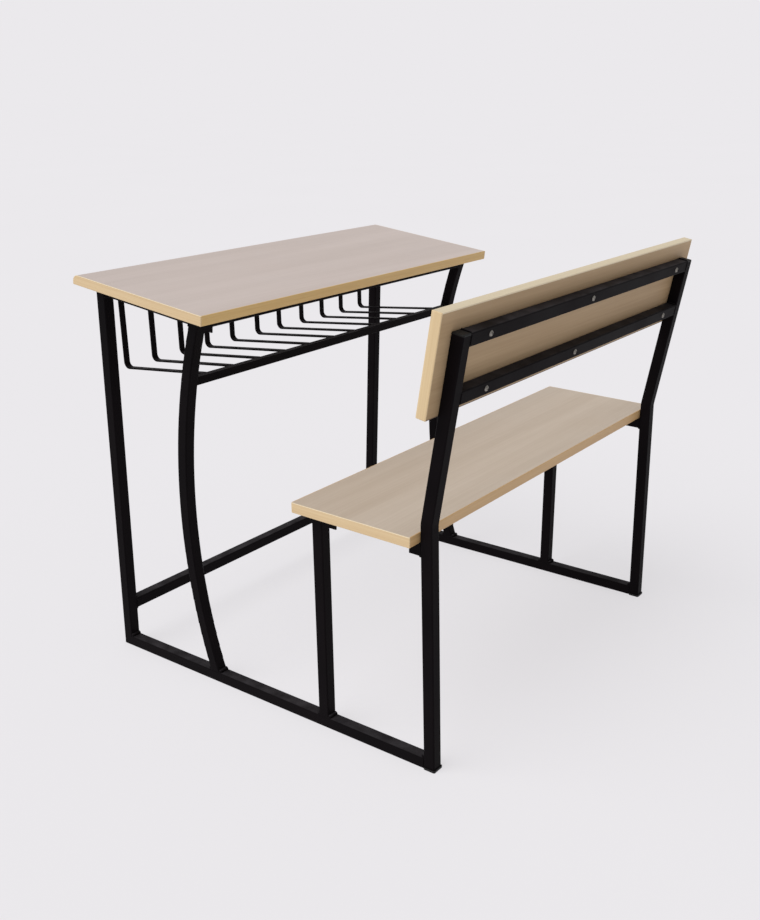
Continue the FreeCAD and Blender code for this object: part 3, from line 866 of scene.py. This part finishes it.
# %% [markdown]
# ## Light
# One wide soft sun stands high on the left. It lights the tops and the left ends of the
# boards, and leaves the faces towards the rear in shade. A lamp near the desk could do that
# too, but it would light the near end of a board more than the far one.

# %% Sun
SKY_LIGHT = 0.5
SUN_WAY = Vector((-0.55, 0.25, 0.80)).normalized()
SUN_WIDTH = math.radians(50)


def make_sun(level):
    """Sun that gives a level face this share of the light that makes white show as white."""
    lamp = bpy.data.lights.new("key_light", "SUN")
    lamp.angle = SUN_WIDTH
    lamp.energy = math.pi * level / SUN_WAY.z
    light = bpy.data.objects.new("key_light", lamp)
    light.rotation_euler = (-SUN_WAY).to_track_quat("-Z", "Y").to_euler()
    bpy.context.scene.collection.objects.link(light)


make_sun(1 - SKY_LIGHT)
print("the sun gives", 1 - SKY_LIGHT, "of the light")

# %% [markdown]
# The world gives the rest of the light from all round. A ring of lamps would do that too, but
# each lamp adds a shadow of its own. The lens sees a paler world than the one that lights the
# desk, and its tone is that of the floor, so no horizon shows.


# %% World
def make_world():
    """World that lights the desk evenly, and that the lens sees as pale as the floor."""
    world = bpy.data.worlds.new("studio")
    world.use_nodes = True
    tree = world.node_tree
    light = tree.nodes["Background"]
    light.inputs["Color"].default_value = (1.0, 1.0, 1.0, 1.0)
    light.inputs["Strength"].default_value = SKY_LIGHT
    seen = add_node(tree, "Background", {"Color": GROUND, "Strength": 1.0})
    by_lens = add_node(tree, "LightPath").outputs["Is Camera Ray"]
    mix = add_node(tree, "MixShader", {0: by_lens, 1: light.outputs[0], 2: seen.outputs[0]})
    tree.links.new(mix.outputs[0], tree.nodes["World Output"].inputs["Surface"])
    bpy.context.scene.world = world


make_world()
bpy.context.scene.view_settings.view_transform = "Standard"
print("the world gives", SKY_LIGHT, "of the light")

# %% [markdown]
# ## Camera
# The camera stands behind the bench and to its left, a little above, and looks down by about
# 22 degrees. Its place came from matching the straight edges of the desk. The small shift
# frames the desk as in the picture. Turning the camera would do that too, but it would also
# tilt the uprights.

# %% Camera
CAMERA_PLACE = Vector((-1.6810, -1.2211, 1.0921))
CAMERA_VIEW = Vector((0.7507, 0.5481, -0.3688)).normalized()
CAMERA_RIGHT = Vector((0.588, -0.8088, -0.0051))


def make_camera():
    """Camera at its measured place. Three directions at right angles give its turn."""
    lens = bpy.data.cameras.new("camera")
    lens.lens = 41.73
    lens.sensor_width = 36.0
    lens.sensor_fit = "AUTO"
    lens.shift_x, lens.shift_y = -0.02196, 0.050
    lens.clip_end = 200.0
    camera = bpy.data.objects.new("camera", lens)
    up = CAMERA_RIGHT.cross(CAMERA_VIEW).normalized()
    right = CAMERA_VIEW.cross(up)
    turn = Matrix((right, up, -CAMERA_VIEW)).transposed().to_4x4()
    camera.matrix_world = Matrix.Translation(CAMERA_PLACE) @ turn
    bpy.context.scene.collection.objects.link(camera)
    bpy.context.scene.camera = camera


make_camera()
print("camera at", [round(value, 3) for value in bpy.context.scene.camera.location])

# %% [markdown]
# ## Keep both boxes and finish
# The dressed desk stays inside the box of the solids. Both boxes are kept side by side and
# printed.

# %% Keep both boxes
boxes = {name: [list(corner) for corner in box]
         for name, box in (("cad", cad_box), ("visual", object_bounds()))}
for name, (low, high) in boxes.items():
    print(name, [round(value, 4) for value in low + high])
